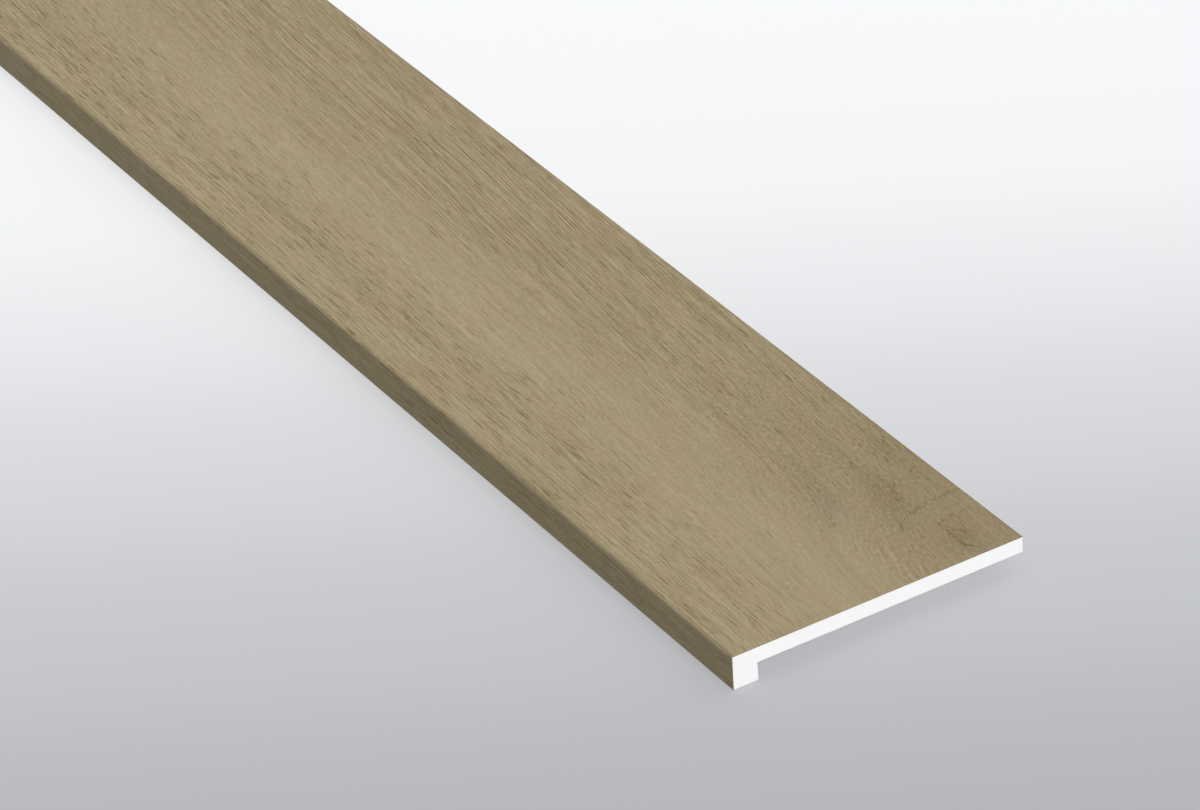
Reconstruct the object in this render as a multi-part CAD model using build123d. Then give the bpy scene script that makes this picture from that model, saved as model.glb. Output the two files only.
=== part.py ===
"""Cap-over stair tread: a white core board with a square dropped nose, faced with an oak decor layer.

The section is drawn in the YZ plane and run out along X, the length of the step.
The nose points to -Y, the walking face looks to +Z, and the origin lies under the
middle of the tread, level with the bottom of the nose. All sizes are in millimetres.
"""

import os

from build123d import *

# Driving dimensions
tread_length = 1400.0     # end to end, along the step
tread_depth = 300.0       # nose face to back edge
board_thickness = 16.0    # walking face to underside, decor included
nose_height = 34.0        # walking face to bottom of nose, decor included
nose_width = 25.5         # nose face to back of nose, decor included
decor_thickness = 0.6     # facing wrapped over the board and down the nose
core_edge_radius = 0.6    # rounding of the core under the facing, along the nose's top edge

# Lines of the section, as places along Y and Z
nose_face = -tread_depth / 2
back_edge = tread_depth / 2
nose_back = nose_face + nose_width
nose_bottom = 0.0
walking_face = nose_bottom + nose_height
underside = walking_face - board_thickness


def tread_section(facing, edge_radius):
    """The L-shaped section, with its top and nose set back by the thickness of the facing."""
    front = nose_face + facing
    top = walking_face - facing
    corners = [
        (front, nose_bottom),
        (front, top),
        (back_edge, top),
        (back_edge, underside),
        (nose_back, underside),
        (nose_back, nose_bottom),
    ]
    with BuildSketch(Plane.YZ) as section:
        with BuildLine():
            Polyline(*corners, close=True)
        make_face()
        # within the sketch X runs along the depth and Y is up
        nose_edge = section.vertices().group_by(Axis.X)[0].sort_by(Axis.Y)[-1]
        fillet(nose_edge, edge_radius)
    return section.sketch


def along_step(section):
    """A section run out to the tread's length, half of it to each side of the middle."""
    return extrude(section, amount=tread_length / 2, both=True)


def core():
    """White body: the board and its dropped nose in one piece."""
    return along_step(tread_section(decor_thickness, core_edge_radius))


def oak_decor():
    """Facing: a thin sheet over the walking face, bent round the nose and down its face."""
    outside = tread_section(0.0, core_edge_radius + decor_thickness)
    inside = tread_section(decor_thickness, core_edge_radius)
    return along_step(outside - inside)


os.makedirs("parts", exist_ok=True)
for name, piece in {"core": core(), "oak_decor": oak_decor()}.items():
    piece.label = name
    export_step(piece, f"parts/{name}.step")
    size = piece.bounding_box().size
    print(f"{name}: {piece.volume / 1e6:.4f} litres, {size.X:.1f} x {size.Y:.1f} x {size.Z:.1f} mm")
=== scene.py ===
import math

import bmesh
import bpy
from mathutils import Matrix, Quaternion, Vector


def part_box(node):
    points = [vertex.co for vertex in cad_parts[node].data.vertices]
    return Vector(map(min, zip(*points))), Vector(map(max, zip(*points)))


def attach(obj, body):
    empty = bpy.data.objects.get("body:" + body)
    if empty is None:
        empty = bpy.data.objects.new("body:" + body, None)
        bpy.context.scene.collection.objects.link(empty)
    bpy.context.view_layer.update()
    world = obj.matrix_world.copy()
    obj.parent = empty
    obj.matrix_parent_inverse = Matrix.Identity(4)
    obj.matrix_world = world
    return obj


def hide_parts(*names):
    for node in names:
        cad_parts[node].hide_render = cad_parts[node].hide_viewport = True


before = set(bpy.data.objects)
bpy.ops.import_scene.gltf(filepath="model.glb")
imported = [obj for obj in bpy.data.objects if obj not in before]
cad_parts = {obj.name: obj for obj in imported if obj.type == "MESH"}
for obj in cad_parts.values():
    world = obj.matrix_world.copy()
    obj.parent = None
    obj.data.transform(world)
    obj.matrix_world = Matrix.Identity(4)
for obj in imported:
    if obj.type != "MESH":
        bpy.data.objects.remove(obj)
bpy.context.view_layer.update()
coreLow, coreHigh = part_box("core")
facingLow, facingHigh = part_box("oak_decor")
print("frame loaded:", sorted(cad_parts))


# editing helpers

touching = 1e-5                   # metres, places nearer than this count as the same
sharpAngle = math.radians(60)     # edges that turn more than this are softened
smoothAngle = math.radians(30)    # faces that turn less than this are shaded as one
mmPerMetre = 1000.0


def startEditing(obj):
    bpy.ops.object.select_all(action="DESELECT")
    obj.select_set(True)
    bpy.context.view_layer.objects.active = obj
    bpy.ops.object.mode_set(mode="EDIT")


def pick(obj, kind, test):
    # selects the faces or edges that pass the test, and nothing else
    bpy.ops.mesh.select_mode(type={"faces": "FACE", "edges": "EDGE"}[kind])
    bpy.ops.mesh.select_all(action="DESELECT")
    mesh = bmesh.from_edit_mesh(obj.data)
    for element in getattr(mesh, kind):
        element.select_set(test(element))
    bmesh.update_edit_mesh(obj.data)


def near(a, b):
    return abs(a - b) < touching


def runsAlong(edge, axis):
    # true where an edge is parallel to an axis: 0 is the length, 1 the depth, 2 the height
    direction = edge.verts[1].co - edge.verts[0].co
    return all(near(direction[other], 0) for other in range(3) if other != axis)


def edgeAt(edge, y=None, z=None):
    ends = [vert.co for vert in edge.verts]
    rightY = y is None or all(near(end.y, y) for end in ends)
    rightZ = z is None or all(near(end.z, z) for end in ends)
    return rightY and rightZ


def smoothByAngle(obj):
    # big flat faces keep their own normal right up to the rounded edges
    bpy.ops.object.select_all(action="DESELECT")
    obj.select_set(True)
    bpy.context.view_layer.objects.active = obj
    bpy.ops.object.shade_smooth_by_angle(angle=smoothAngle)
    weighted = obj.modifiers.new("flatFaces", "WEIGHTED_NORMAL")
    weighted.keep_sharp = True
    bpy.ops.object.modifier_apply(modifier=weighted.name)


# shader helper: a socket that can be added, multiplied and so on

class Wire:
    def __init__(self, tree, socket=None):
        self.tree = tree
        self.socket = socket

    def node(self, kind, settings=None, sockets=None, out=0):
        made = self.tree.nodes.new(kind)
        for name, value in (settings or {}).items():
            if name == "stops":
                setStops(made.color_ramp, value)
            else:
                setattr(made, name, value)
        for key, value in (sockets or {}).items():
            if isinstance(value, Wire):
                self.tree.links.new(value.socket, made.inputs[key])
            else:
                made.inputs[key].default_value = value
        if isinstance(out, tuple):
            return [Wire(self.tree, made.outputs[key]) for key in out]
        return Wire(self.tree, made.outputs[out])

    def math(self, operation, first, second=0.0):
        return self.node("ShaderNodeMath", {"operation": operation}, {0: first, 1: second})

    def __add__(self, other):
        return self.math("ADD", self, other)

    def __sub__(self, other):
        return self.math("SUBTRACT", self, other)

    def __rsub__(self, other):
        return self.math("SUBTRACT", other, self)

    def __mul__(self, other):
        return self.math("MULTIPLY", self, other)

    def __truediv__(self, other):
        return self.math("DIVIDE", self, other)

    def __rtruediv__(self, other):
        return self.math("DIVIDE", other, self)

    __radd__ = __add__


def setStops(ramp, stops):
    ramp.interpolation = "CARDINAL"
    while len(ramp.elements) < len(stops):
        ramp.elements.new(1.0)
    for element, (place, value) in zip(ramp.elements, stops):
        element.position = place
        element.color = (value, value, value, 1.0)


def newMaterial(name):
    material = bpy.data.materials.new(name)
    material.use_nodes = True
    material.node_tree.nodes.clear()
    return material, Wire(material.node_tree)


def finishMaterial(wire, sockets):
    shader = wire.node("ShaderNodeBsdfPrincipled", {}, sockets)
    wire.node("ShaderNodeOutputMaterial", {}, {"Surface": shader}, out=())


def mixColour(wire, factor, first, second, blend="MIX"):
    settings = {"data_type": "RGBA", "blend_type": blend, "clamp_factor": True}
    return wire.node("ShaderNodeMix", settings, {0: factor, 6: first, 7: second}, out=2)


def mapRange(wire, value, fromLow, fromHigh, toLow, toHigh):
    sockets = {0: value, 1: fromLow, 2: fromHigh, 3: toLow, 4: toHigh}
    return wire.node("ShaderNodeMapRange", {"interpolation_type": "SMOOTHSTEP"}, sockets)


def addUp(start, layers, amounts):
    # start, plus each named layer times its amount
    total = start
    for name, amount in amounts.items():
        total = total + layers[name] * amount
    return total


# oak facing: a thin sheet over the board, bent round the nose and down its face

facing = {
    "bendRadius": 0.0012,     # outside of the bend
    "bendSegments": 6,
    "softReach": 0.0042,      # how far from the bend's middle the shading eases into the flat faces
    "cutEdge": 0.00012,       # softening of the sheet's cut edges
    "cutEdgeSegments": 2,
    "cutsAlong": 27,          # cross lines along the length
}


def buildFacing():
    thickness = facingHigh.z - coreHigh.z
    size = facingHigh - facingLow
    middle = (facingLow + facingHigh) / 2
    top = facingHigh.z
    nose = facingLow.y
    bpy.ops.mesh.primitive_plane_add(size=1.0, location=(middle.x, middle.y, top))
    sheet = bpy.context.object
    sheet.name = "oakFacing"
    sheet.scale = (size.x, size.y, 1.0)
    bpy.ops.object.transform_apply(location=True, rotation=True, scale=True)
    startEditing(sheet)
    pick(sheet, "edges", lambda edge: edgeAt(edge, y=nose))
    bpy.ops.mesh.extrude_region_move(TRANSFORM_OT_translate={"value": (0, 0, -size.z)})
    pick(sheet, "edges", lambda edge: edgeAt(edge, y=nose, z=top))
    bpy.ops.mesh.bevel(offset=facing["bendRadius"], segments=facing["bendSegments"], affect="EDGES")
    # a line on each side of the bend, where the soft shading ends
    easeLines = [
        ((0, nose + facing["softReach"], top), (0, 1, 0)),
        ((0, nose, top - facing["softReach"]), (0, 0, 1)),
    ]
    for place, direction in easeLines:
        bpy.ops.mesh.select_all(action="SELECT")
        bpy.ops.mesh.bisect(plane_co=place, plane_no=direction)
    bpy.ops.mesh.select_all(action="SELECT")
    bpy.ops.mesh.normals_make_consistent(inside=False)
    bpy.ops.object.mode_set(mode="OBJECT")
    if max(sheet.data.polygons, key=lambda face: face.area).normal.z < 0:
        sheet.data.flip_normals()
    solid = sheet.modifiers.new("sheetThickness", "SOLIDIFY")
    solid.thickness = thickness
    solid.offset = -1.0
    solid.use_even_offset = True
    bpy.ops.object.modifier_apply(modifier=solid.name)

    def cutEdge(edge):
        return len(edge.link_faces) == 2 and edge.calc_face_angle() > sharpAngle

    startEditing(sheet)
    pick(sheet, "edges", cutEdge)
    bpy.ops.mesh.bevel(offset=facing["cutEdge"], segments=facing["cutEdgeSegments"], affect="EDGES")
    pick(sheet, "edges", lambda edge: runsAlong(edge, 0) and edge.calc_length() > size.x / 2)
    bpy.ops.mesh.subdivide(number_cuts=facing["cutsAlong"])
    bpy.ops.object.mode_set(mode="OBJECT")
    smoothByAngle(sheet)
    easeBend(sheet, nose, top)
    return sheet


def easeBend(sheet, nose, top):
    # the outside turns gently from the walking face into the nose face
    mesh = sheet.data
    halfTurn = math.radians(45)
    normals = [corner.vector.copy() for corner in mesh.corner_normals]
    for face in mesh.polygons:
        # outside faces look up, forward or between the two
        outside = near(face.normal.x, 0) and face.normal.z - face.normal.y > 0.9
        for index in face.loop_indices if outside else []:
            place = mesh.vertices[mesh.loops[index].vertex_index].co
            fromEdge = (place.y - nose + place.z - top) / facing["softReach"]
            turn = halfTurn * (1 - max(-1.0, min(1.0, fromEdge)))
            normals[index] = Vector((0, -math.sin(turn), math.cos(turn)))
    mesh.normals_split_custom_set(normals)


# white core: board and dropped nose in one piece

core = {
    "boardThickness": 0.016,  # walking face to underside, facing included
    "noseWidth": 0.0255,      # nose face to back of nose, facing included
    "edgeRadius": 0.0006,     # under the facing's bend
    "edgeSegments": 8,
    "arris": 0.0004,          # softening of the sawn edges that show
    "arrisSegments": 3,
    "cutsAlong": 27,
}


def buildCore():
    underside = facingHigh.z - core["boardThickness"]
    noseBack = facingLow.y + core["noseWidth"]
    low = Vector((coreLow.x, coreLow.y, underside))
    bpy.ops.object.select_all(action="DESELECT")
    bpy.ops.mesh.primitive_cube_add(size=1.0, location=(low + coreHigh) / 2)
    board = bpy.context.object
    board.name = "treadCore"
    board.scale = coreHigh - low
    bpy.ops.object.transform_apply(location=True, rotation=True, scale=True)
    startEditing(board)
    bpy.ops.mesh.select_all(action="SELECT")
    bpy.ops.mesh.bisect(plane_co=(0, noseBack, 0), plane_no=(0, 1, 0))

    def overNose(face):
        looksDown = face.normal.z < -0.9
        return looksDown and face.calc_center_median().y < noseBack

    pick(board, "faces", overNose)
    bpy.ops.mesh.extrude_region_move(TRANSFORM_OT_translate={"value": (0, 0, coreLow.z - underside)})

    def underFacing(edge):
        return edgeAt(edge, z=coreHigh.z) or edgeAt(edge, y=coreLow.y)

    def sawnEdge(edge):
        sharp = edge.calc_face_angle() > sharpAngle
        inner = edgeAt(edge, y=noseBack, z=underside)
        return sharp and not inner and not underFacing(edge)

    pick(board, "edges", sawnEdge)
    bpy.ops.mesh.bevel(offset=core["arris"], segments=core["arrisSegments"], affect="EDGES")
    pick(board, "edges", lambda edge: edgeAt(edge, y=coreLow.y, z=coreHigh.z))
    bpy.ops.mesh.bevel(offset=core["edgeRadius"], segments=core["edgeSegments"], affect="EDGES")
    pick(board, "edges", lambda edge: runsAlong(edge, 0))
    bpy.ops.mesh.subdivide(number_cuts=core["cutsAlong"])
    bpy.ops.object.mode_set(mode="OBJECT")
    smoothByAngle(board)
    return board


# oak finish

oakLook = {
    "light": (0.4365, 0.3515, 0.2165, 1.0),
    "dark": (0.187, 0.138, 0.062, 1.0),
    "slate": (0.262, 0.236, 0.141, 1.0),
    "silver": (0.330, 0.296, 0.185, 1.0),
    "honey": (0.360, 0.282, 0.147, 1.0),
    # slow drift of the colour, each pair from one side to the other
    "drift": {
        "pinkish": ((0.970, 1.015, 0.996, 1.0), (1.030, 0.985, 1.004, 1.0)),
        "yellowish": ((1.0, 1.0, 1.08, 1.0), (1.0, 1.0, 0.92, 1.0)),
    },
    # painted shade: a cooler tint on the nose face stands in for the bluer sky and floor light that falls on
    # that side
    "paintedNoseShadeTint": (0.973, 1.0, 1.014, 1.0),     # on the nose face only
    "noseShadeEdge": (-2.0, 1.0, 1.0, 0.0),        # from and to across, share of the tint there
    "roughness": 0.55,
    "rubbed": {"pores": 0.12, "streaks": 0.1},                          # roughness that they add
    "specular": 0.07,
    "grainDepth": 0.00008,    # metres that the pores sink
    "bumpStrength": 0.5,
    "relief": {"fibres": 0.5, "ridgeLines": -0.5, "pores": -1.0},       # up or down, as a share of that depth
    # all places below are in mm: along from the near end, across from the nose's top edge,
    # which unrolls the nose face to negative values
    "bands": [
        (-34, 0.68), (0, 0.68), (30, 0.72), (52, 0.665), (72, 0.70), (95, 0.77), (125, 0.79),
        (150, 0.72), (175, 0.69), (210, 0.62), (240, 0.63), (270, 0.62), (300, 0.575),
    ],
    "pores": [
        (-34, 0.10), (10, 0.24), (35, 0.28), (60, 0.36), (92, 0.20), (120, 0.03),
        (160, 0.05), (190, 0.10), (300, 0.11),
    ],
    "lines": [
        (-34, 0.42), (10, 0.79), (40, 0.70), (70, 0.44), (130, 0.32), (165, 0.56), (200, 0.90),
        (240, 1.00), (300, 1.00),
    ],
    # grain layers: length and width of a feature, seed, detail
    "layers": {
        "waves": (320, 80, 1.7, 2),
        "ripples": (90, 24, 4.1, 1),
        "clouding": (240, 30, 9.3, 2),
        "streaks": (110, 6, 2.9, 2),
        "combed": (34, 1.2, 15.3, 0),
        "threads": (130, 1.4, 19.1, 0),
        "fibres": (15, 1.9, 6.1, 1),
        "specks": (6, 1.3, 27.0, 1),
        "ridges": (60, 3.6, 12.7, 1),
        "paleLines": (110, 2.8, 17.3, 1),
        "poreGroups": (55, 9, 23.1, 1),
        "rakeGroups": (32, 9, 41.7, 1),
        "honey": (16, 5, 31.0, 1),
        "pinkish": (70, 30, 35.0, 3),
        "yellowish": (100, 44, 39.0, 3),
        "mottle": (5, 3.5, 21.0, 1),
        "crackAlong": (11, 11, 33.0, 1),
        "crackAcross": (11, 11, 37.0, 1),
    },
    "layerRoughness": 0.55,   # of the finer detail in each layer
    # the part of a layer that counts: lowest and highest value, and what those become
    "picked": {
        "ridges": (0.0, 0.05, 1.0, 0.0),
        "paleLines": (0.14, 0.28, 0.0, 1.0),
        "poreGroups": (-0.10, 0.16, 0.4, 1.7),
        "rakeGroups": (-0.08, 0.14, 0.0, 1.0),
        "honey": (0.14, 0.32, 0.0, 0.5),
        "mottle": (-0.16, 0.16, 0.1, 1.45),
    },
    # how much each layer lightens or darkens: everywhere, and on top of that on lined wood, in straight
    # grain, in the swirl and among short strokes
    "amounts": {
        "clouding": (0.22, {}),
        "streaks": (0.12, {"lined": 0.30}),
        "combed": (0.0, {"lined": 0.42, "straight": 0.21}),
        "threads": (0.0, {"lined": 1.02, "linedShort": -0.76}),
        "fibres": (0.12, {"straight": 0.36}),
        "specks": (0.58, {"swirl": 0.30, "short": 0.44}),
        "rake": (0.20, {"short": -0.06}),
        "paleLines": (0.08, {}),
        "ridgeLines": (-0.10, {}),
        "pores": (-0.52, {}),
        "slanted": (-0.22, {}),
    },
    "rakeSpacing": 3.1,       # between the evenly combed lines
    "rakeWander": 8.0,        # how far the streaks push them, in radians of the wave
    # pores: length and width of a cell, share of them, depth, seed
    "poreSets": [(30.0, 2.7, 1.0, 1.0, 3.3), (25.0, 2.3, 0.7, 0.8, 8.8)],
    "poreShape": {"rowShift": 0.618, "solid": 0.18, "gone": 0.38, "faintest": 0.4},
    # the grain leans towards the nose at the near end: from and to across, lean at each
    "lean": (-20.0, 220.0, 0.012, 0.060),
    "levelAt": 400.0,         # place along where the lean moves nothing
    "strokeLean": 0.030,      # single strokes lean this much more than the bands they lie in
    "waveHeight": 8.0,
    "rippleHeight": 2.5,
    # it bends towards the nose near that end: place along, across, half length, half width, turn
    "sweep": (0, 165, 120, 45, 0),
    "sweepPush": 30,
    # grain parts round these: place along, across, reach, soft middle, stretch along the grain
    "knots": [(122, 192, 8, 13, 1.8), (28, 252, 9, 13, 1.5)],
    "swirl": (90, 245, 170, 100, 0),          # here the grain is short, with slanting dashes
    "swirlTakesLines": 0.85,
    "swirlTakesPores": 1.25,
    "shortStrokes": (290, 235, 200, 85, 0),   # and here its lines are broken short
    "slantZones": [(205, 285, 50, 22, 0), (152, 258, 46, 28, 0), (185, 172, 70, 38, 0)],
    "slant": 25,
    "slantShare": 0.26,
    "slantDashes": (20.0, 2.1, 5.5),          # length and width of a cell, seed
    # weathered spots: place along, across, half length, half width, turn, colour
    "greySpots": [(137, 192, 17, 11, 15, "slate"), (107, 190, 19, 9, 18, "silver")],
    "spotShare": 0.35,        # how much of that colour shows
    "spotMottle": 0.25,       # and how much more in broken patches
    # darker clouds: place along, across, half length, half width, turn, depth
    "clouds": [
        (30, 256, 28, 20, 0, 0.22),
        (112, 242, 52, 18, 14, 0.22),
        (165, 192, 85, 26, 18, 0.12),
        (45, 207, 70, 24, 0, 0.07),
        (90, 295, 170, 48, 0, 0.16),
        (150, 240, 40, 14, 8, 0.08),
        (215, 250, 55, 12, 8, 0.09),
        (225, 160, 50, 16, 0, 0.05),
        (320, 201, 70, 14, 3, 0.08),
        (20, 60, 60, 22, 0, -0.07),
        (90, 163, 40, 16, 0, -0.05),
        (220, 82, 60, 16, 0, -0.06),
    ],
    # fine broken cracks, in the same order
    "cracks": [
        (38, 254, 26, 1.2, 0, 0.34),
        (39, 253, 4, 2.2, 0, 0.30),
        (19, 253, 4, 2.6, 0, 0.36),
        (13, 259, 8, 1.4, -47, 0.28),
        (15, 246, 7, 1.3, 48, 0.22),
        (93, 276, 24, 2.0, 88, 0.30),
        (88, 251, 10, 1.7, 66, 0.38),
        (75, 226, 8, 1.5, 10, 0.36),
        (61, 264, 14, 2.4, 82, 0.18),
        (42, 262, 6, 1.3, -52, 0.26),
        (34, 264, 6, 1.3, 40, 0.24),
        (130, 257, 14, 1.4, 30, 0.26),
        (108, 247, 5, 2.0, 50, 0.26),
        (80, 231, 8, 1.3, 48, 0.22),
        (143, 285, 9, 1.6, 50, 0.32),
        (197, 291, 14, 1.6, 25, 0.34),
        (168, 276, 10, 1.3, 28, 0.22),
        (134, 252, 26, 1.5, 4, 0.26),
        (184, 247, 18, 1.5, 12, 0.18),
        (116, 180, 9, 1.7, 15, 0.32),
        (128, 190, 6, 2.6, 40, 0.18),
    ],
    # how far they stray from a straight line
    "crackWander": {"crackAlong": 11.0, "crackAcross": 9.0},
}


def flatPlace(wire, along, across):
    return wire.node("ShaderNodeCombineXYZ", {}, {0: along, 1: across, 2: 0.0})


def grainNoise(wire, place, name):
    # noise drawn out along the grain, values round 0
    length, width, seed, detail = oakLook["layers"][name]
    sockets = {"Vector": place, "Location": (0, 0, seed), "Scale": (1 / length, 1 / width, 1)}
    drawnOut = wire.node("ShaderNodeMapping", {"vector_type": "POINT"}, sockets)
    sockets = {"Vector": drawnOut, "Scale": 1.0, "Detail": detail, "Roughness": oakLook["layerRoughness"]}
    return wire.node("ShaderNodeTexNoise", {}, sockets, out="Fac") - 0.5


def pickedNoise(wire, place, name):
    return mapRange(wire, grainNoise(wire, place, name), *oakLook["picked"][name])


def acrossRamp(wire, across, points):
    low, high = points[0][0], points[-1][0]
    stops = [((place - low) / (high - low), value) for place, value in points]
    return wire.node("ShaderNodeValToRGB", {"stops": stops}, {0: (across - low) / (high - low)})


def aroundKnot(along, across, knot):
    # how far a knot pushes the grain aside
    knotAlong, knotAcross, reach, middle, stretch = knot
    offAlong = (along - knotAlong) / stretch
    offAcross = across - knotAcross
    far = offAlong * offAlong + offAcross * offAcross + middle ** 2
    return offAcross * (reach ** 2 / far)


def softSpot(wire, place, spot):
    # 1 in the middle of a turned oval, fading out past its half sizes
    spotAlong, spotAcross, halfLength, halfWidth, turn = spot
    sockets = {
        "Vector": place,
        "Location": (spotAlong, spotAcross, 0),
        "Rotation": (0, 0, math.radians(turn)),
        "Scale": (halfLength, halfWidth, 1),
    }
    off = wire.node("ShaderNodeMapping", {"vector_type": "TEXTURE"}, sockets)
    far = wire.node("ShaderNodeVectorMath", {"operation": "DOT_PRODUCT"}, {0: off, 1: off}, out="Value")
    return wire.math("EXPONENT", far * -1.0)


def poreDashes(wire, along, across, length, width, share, seed):
    # spindle-shaped dashes; share is how many of the possible ones are there
    shape = oakLook["poreShape"]
    row = across / width
    place = flatPlace(wire, along / length + row * shape["rowShift"] + seed, row + seed)
    settings = {"voronoi_dimensions": "2D", "feature": "F1"}
    sockets = {"Vector": place, "Scale": 1.0, "Randomness": 1.0}
    distance, colour = wire.node("ShaderNodeTexVoronoi", settings, sockets, out=("Distance", "Color"))
    chance, strength = wire.node("ShaderNodeSeparateColor", {}, {0: colour}, out=(0, 1))
    there = wire.math("LESS_THAN", chance, share)
    strength = strength * (1 - shape["faintest"]) + shape["faintest"]
    return mapRange(wire, distance, shape["solid"], shape["gone"], 1.0, 0.0) * there * strength


def oakMaterial():
    material, wire = newMaterial("oakDecor")
    point = wire.node("ShaderNodeTexCoord", out="Object")
    x, y, z = wire.node("ShaderNodeSeparateXYZ", {}, {0: point}, out=(0, 1, 2))
    along = (facingHigh.x - x) * mmPerMetre
    across = (y + z - (facingLow.y + facingHigh.z)) * mmPerMetre
    place = flatPlace(wire, along, across)

    # flow is constant along a line of the grain
    lean = mapRange(wire, across, *oakLook["lean"])
    waves = grainNoise(wire, place, "waves") * oakLook["waveHeight"]
    waves = waves + grainNoise(wire, place, "ripples") * oakLook["rippleHeight"]
    flow = across - (along - oakLook["levelAt"]) * lean + waves
    flow = flow + softSpot(wire, place, oakLook["sweep"]) * oakLook["sweepPush"]
    for knot in oakLook["knots"]:
        flow = flow - aroundKnot(along, across, knot)
    grain = flatPlace(wire, along, flow)
    strokeFlow = flow - along * oakLook["strokeLean"]
    stroke = flatPlace(wire, along, strokeFlow)

    # where the tread has more or less of each kind of grain
    zone = across + waves
    swirl = softSpot(wire, place, oakLook["swirl"])
    short = softSpot(wire, place, oakLook["shortStrokes"])
    straight = 1 - swirl * oakLook["swirlTakesLines"]
    lined = acrossRamp(wire, zone, oakLook["lines"]) * straight
    shares = {"lined": lined, "straight": straight, "swirl": swirl, "short": short}
    shares["linedShort"] = lined * short

    streaks = grainNoise(wire, grain, "streaks")
    ridges = wire.math("ABSOLUTE", grainNoise(wire, grain, "ridges"))
    wavePlace = strokeFlow * (2 * math.pi / oakLook["rakeSpacing"]) + streaks * oakLook["rakeWander"]
    rake = wire.math("SINE", wavePlace) * pickedNoise(wire, grain, "rakeGroups") * lined

    outOfSwirl = wire.math("MAXIMUM", 1 - swirl * oakLook["swirlTakesPores"], 0.0)
    poreShare = acrossRamp(wire, zone, oakLook["pores"]) * outOfSwirl * pickedNoise(wire, grain, "poreGroups")
    pores = 0.0
    for length, width, share, depth, seed in oakLook["poreSets"]:
        dashes = poreDashes(wire, along, strokeFlow, length, width, poreShare * share, seed)
        pores = wire.math("MAXIMUM", dashes * depth, pores)

    slant = math.radians(oakLook["slant"])
    slantAlong = along * math.cos(slant) + across * math.sin(slant)
    slantAcross = across * math.cos(slant) - along * math.sin(slant)
    slantShare = 0.0
    for oval in oakLook["slantZones"]:
        slantShare = slantShare + softSpot(wire, place, oval) * oakLook["slantShare"]
    length, width, seed = oakLook["slantDashes"]
    slanted = poreDashes(wire, slantAlong, slantAcross, length, width, slantShare, seed)

    layers = {
        "clouding": grainNoise(wire, grain, "clouding"),
        "streaks": streaks,
        "combed": grainNoise(wire, stroke, "combed"),
        "threads": grainNoise(wire, grain, "threads"),
        "fibres": grainNoise(wire, stroke, "fibres"),
        "specks": grainNoise(wire, stroke, "specks"),
        "rake": rake,
        "paleLines": pickedNoise(wire, grain, "paleLines") * straight,
        "ridgeLines": mapRange(wire, ridges, *oakLook["picked"]["ridges"]) * lined,
        "pores": pores,
        "slanted": slanted,
    }
    tone = acrossRamp(wire, zone, oakLook["bands"])
    for name, (everywhere, more) in oakLook["amounts"].items():
        tone = tone + layers[name] * addUp(everywhere, shares, more)
    for *oval, depth in oakLook["clouds"]:
        tone = tone - softSpot(wire, place, oval) * depth
    broken = pickedNoise(wire, place, "mottle")
    strayed = {name: grainNoise(wire, place, name) * far for name, far in oakLook["crackWander"].items()}
    crackPlace = flatPlace(wire, along + strayed["crackAlong"], across + strayed["crackAcross"])
    for *oval, depth in oakLook["cracks"]:
        tone = tone - softSpot(wire, crackPlace, oval) * broken * depth

    colour = mixColour(wire, tone, oakLook["dark"], oakLook["light"])
    for name, (first, second) in oakLook["drift"].items():
        share = grainNoise(wire, grain, name) + 0.5       # from 0 to 1 again
        tint = mixColour(wire, share, first, second)
        colour = mixColour(wire, 1.0, colour, tint, "MULTIPLY")
    # painted shade: the nose face is tinted cooler, for the bluer light that falls on that side
    noseShadeShare = mapRange(wire, across, *oakLook["noseShadeEdge"])
    colour = mixColour(wire, noseShadeShare, colour, oakLook["paintedNoseShadeTint"], "MULTIPLY")
    colour = mixColour(wire, pickedNoise(wire, grain, "honey"), colour, oakLook["honey"])
    for *oval, name in oakLook["greySpots"]:
        share = softSpot(wire, place, oval) * (broken * oakLook["spotMottle"] + oakLook["spotShare"])
        colour = mixColour(wire, share, colour, oakLook[name])

    bump = wire.node("ShaderNodeBump", {}, {
        "Strength": oakLook["bumpStrength"],
        "Distance": oakLook["grainDepth"],
        "Height": addUp(0.0, layers, oakLook["relief"]),
    })
    finishMaterial(wire, {
        "Base Color": colour,
        "Roughness": addUp(oakLook["roughness"], layers, oakLook["rubbed"]),
        "Normal": bump,
        "Specular IOR Level": oakLook["specular"],
    })
    return material


# white finish

whiteLook = {
    "white": (0.97, 0.969, 0.964, 1.0),
    "shade": (0.925, 0.923, 0.912, 1.0),
    "evenShade": 0.4,         # share of the shade all over
    "wear": {"marks": 0.9, "pits": 0.5, "clouding": 0.6},               # and what the layers add to it
    "roughness": 0.6,
    "rubbed": {"pits": 0.2, "marks": 0.1},
    "specular": 0.3,
    "markDepth": 0.00003,     # metres
    "bumpStrength": 0.4,
    "relief": {"marks": 1.0, "pits": 0.6},
    # layers: size of a mark along x, y and z in mm, detail
    "dieLines": (260.0, 2.2, 2.2, 2.0),       # on the long faces
    "sawMarks": (40.0, 0.9, 26.0, 1.0),       # on the two ends
    "pits": (1.1, 1.1, 1.1, 2.0),
    "clouding": (55.0, 55.0, 55.0, 2.0),
}


def sizedNoise(wire, place, name):
    # noise with features of the sizes given, values round 0
    *sizes, detail = whiteLook[name]
    scale = [mmPerMetre / size for size in sizes]
    sized = wire.node("ShaderNodeMapping", {"vector_type": "POINT"}, {"Vector": place, "Scale": scale})
    sockets = {"Vector": sized, "Scale": 1.0, "Detail": detail}
    return wire.node("ShaderNodeTexNoise", {}, sockets, out="Fac") - 0.5


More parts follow.
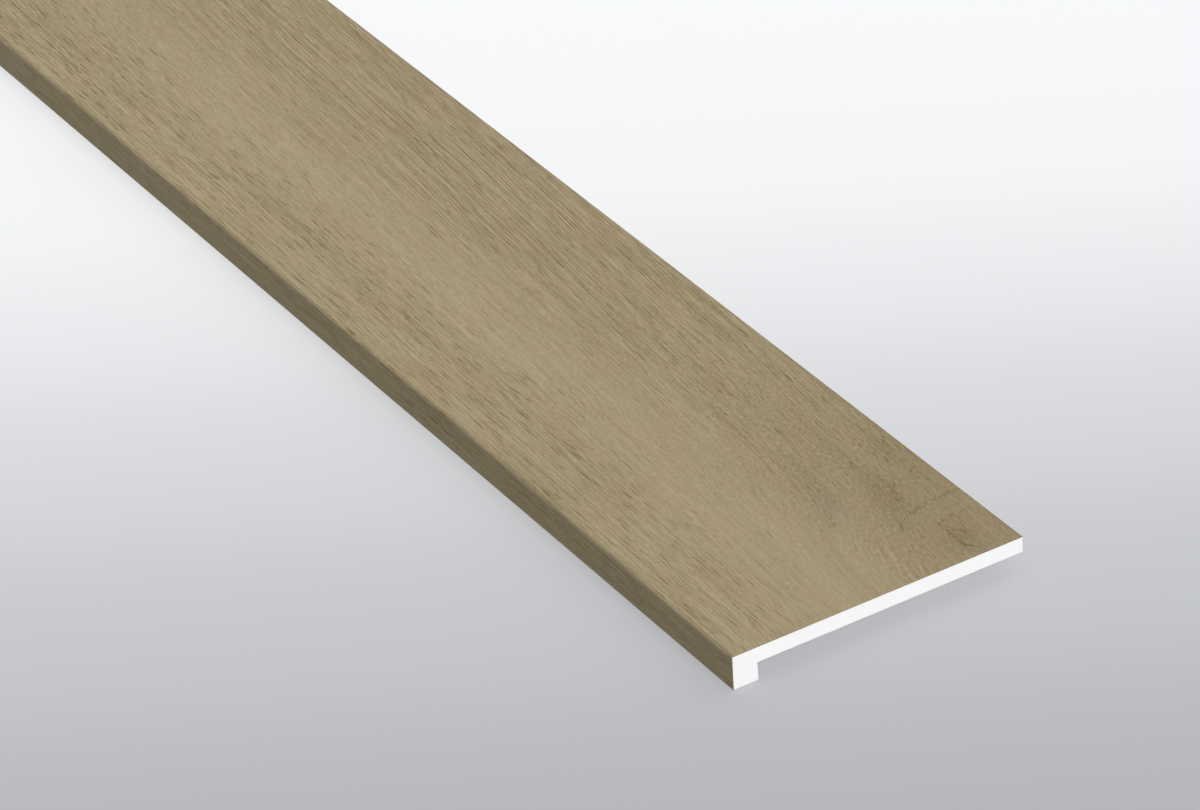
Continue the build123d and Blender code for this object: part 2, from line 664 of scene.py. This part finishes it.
def whiteMaterial():
    material, wire = newMaterial("whiteCore")
    place = wire.node("ShaderNodeTexCoord", out="Object")
    x = wire.node("ShaderNodeSeparateXYZ", {}, {0: place}, out=0)
    sawn = wire.math("GREATER_THAN", wire.math("ABSOLUTE", x), coreHigh.x - core["arris"] / 2)
    dieLines = sizedNoise(wire, place, "dieLines")
    sawMarks = sizedNoise(wire, place, "sawMarks")
    layers = {
        "marks": dieLines * (1 - sawn) + sawMarks * sawn,
        "pits": sizedNoise(wire, place, "pits"),
        "clouding": sizedNoise(wire, place, "clouding"),
    }
    worn = addUp(whiteLook["evenShade"], layers, whiteLook["wear"])
    bump = wire.node("ShaderNodeBump", {}, {
        "Strength": whiteLook["bumpStrength"],
        "Distance": whiteLook["markDepth"],
        "Height": addUp(0.0, layers, whiteLook["relief"]),
    })
    finishMaterial(wire, {
        "Base Color": mixColour(wire, worn, whiteLook["white"], whiteLook["shade"]),
        "Roughness": addUp(whiteLook["roughness"], layers, whiteLook["rubbed"]),
        "Normal": bump,
        "Specular IOR Level": whiteLook["specular"],
    })
    return material


def dress(piece, material, node):
    piece.data.materials.clear()
    piece.data.materials.append(material)
    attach(piece, "root")
    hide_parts(node)


oakFacing = buildFacing()
treadCore = buildCore()
print("pieces modelled:", oakFacing.name, treadCore.name)
dress(oakFacing, oakMaterial(), "oak_decor")
dress(treadCore, whiteMaterial(), "core")
print("materials on")


# studio: floor, light and camera

studio = {
    "floorSize": 60.0,
    "floorGap": 0.0002,       # between the nose and the floor
    "bounce": 0.28,           # light that the floor throws back at the object
    "floorGlow": 0.5,         # share of the floor's paleness that the shadow leaves alone
    # the floor gets paler towards the back: direction in x and y, start and length of the change in metres
    "towardsBack": (-0.862, 0.507),
    "paleFrom": -0.9,
    "paleLength": 1.4,
    "paleness": [
        (0.0, 0.484), (0.17, 0.558), (0.35, 0.657), (0.53, 0.789),
        (0.70, 0.920), (0.85, 0.965), (1.0, 0.982),
    ],
    "floorColours": ((0.0, 0.004, 0.04, 1.0), (0.985, 0.99, 1.0, 1.0)),
    "sky": (0.442, 0.456, 0.468, 1.0),
    "backdrop": (0.97, 0.97, 0.98, 1.0),
    # lamps: direction they stand in, strength, softness in degrees
    "lamps": {
        "mainLamp": ((0.85, -0.04, 0.52), 2.25, 30.0),
        "fillLamp": ((-0.55, 0.75, 0.37), 0.90, 100.0),
    },
}


def cameraSees(wire):
    # 1 for what the camera, a reflection or a clear surface sees, 0 for light that bounces
    rays = wire.node("ShaderNodeLightPath", out=("Is Camera Ray", "Is Glossy Ray", "Is Transmission Ray"))
    return wire.math("MINIMUM", rays[0] + rays[1] + rays[2], 1.0)


def floorMaterial():
    material, wire = newMaterial("paleFloor")
    place = wire.node("ShaderNodeTexCoord", out="Object")
    x, y = wire.node("ShaderNodeSeparateXYZ", {}, {0: place}, out=(0, 1))
    backX, backY = studio["towardsBack"]
    depth = (y * backY + x * backX - studio["paleFrom"]) / studio["paleLength"]
    pale = wire.node("ShaderNodeValToRGB", {"stops": studio["paleness"]}, {0: depth})
    tinted = mixColour(wire, pale, *studio["floorColours"])
    matt = wire.node("ShaderNodeBsdfDiffuse", {}, {"Color": tinted})
    glow = wire.node("ShaderNodeEmission", {}, {"Color": tinted})
    seen = wire.node("ShaderNodeMixShader", {}, {0: studio["floorGlow"], 1: matt, 2: glow})
    bounce = wire.node("ShaderNodeEmission", {}, {"Strength": studio["bounce"]})
    shader = wire.node("ShaderNodeMixShader", {}, {0: cameraSees(wire), 1: bounce, 2: seen})
    below = wire.node("ShaderNodeNewGeometry", out="Backfacing")
    clear = wire.node("ShaderNodeBsdfTransparent")
    surface = wire.node("ShaderNodeMixShader", {}, {0: below, 1: shader, 2: clear})
    wire.node("ShaderNodeOutputMaterial", {}, {"Surface": surface}, out=())
    return material


def buildFloor():
    bpy.ops.object.select_all(action="DESELECT")
    height = facingLow.z - studio["floorGap"]
    bpy.ops.mesh.primitive_plane_add(size=studio["floorSize"], location=(0, 0, height))
    floor = bpy.context.object
    floor.name = "floor"
    floor.data.materials.append(floorMaterial())


def lightStudio():
    world = bpy.data.worlds.new("studio")
    bpy.context.scene.world = world
    world.use_nodes = True
    world.node_tree.nodes.clear()
    wire = Wire(world.node_tree)
    colour = mixColour(wire, cameraSees(wire), studio["sky"], studio["backdrop"])
    light = wire.node("ShaderNodeBackground", {}, {"Color": colour, "Strength": 1.0})
    wire.node("ShaderNodeOutputWorld", {}, {"Surface": light}, out=())
    for name, (towards, strength, softness) in studio["lamps"].items():
        lamp = bpy.data.lights.new(name, "SUN")
        lamp.energy = strength
        lamp.angle = math.radians(softness)
        holder = bpy.data.objects.new(name, lamp)
        bpy.context.scene.collection.objects.link(holder)
        holder.rotation_euler = Vector(towards).to_track_quat("Z", "Y").to_euler()


view = {
    "aim": (0.3046, -0.0300, 0.0340),
    "distance": 5.5005,
    "azimuth": 59.534,
    "elevation": 32.931,
    "roll": -3.596,
    "lens": 184.55,           # mm, on the sensor width below
    "sensorWidth": 36.0,
    "clipEnd": 200.0,
}


def addCamera():
    azimuth, elevation = math.radians(view["azimuth"]), math.radians(view["elevation"])
    back = Vector((
        math.sin(azimuth) * math.cos(elevation),
        -math.cos(azimuth) * math.cos(elevation),
        math.sin(elevation),
    ))
    lens = bpy.data.cameras.new("camera")
    lens.sensor_width = view["sensorWidth"]
    lens.lens = view["lens"]
    lens.clip_end = view["clipEnd"]
    camera = bpy.data.objects.new("camera", lens)
    bpy.context.scene.collection.objects.link(camera)
    camera.location = Vector(view["aim"]) + back * view["distance"]
    turn = Quaternion((0, 0, 1), math.radians(view["roll"]))
    camera.rotation_euler = ((-back).to_track_quat("-Z", "Y") @ turn).to_euler()
    bpy.context.scene.camera = camera


buildFloor()
lightStudio()
addCamera()
bpy.context.scene.view_settings.view_transform = "Standard"
print("studio ready")
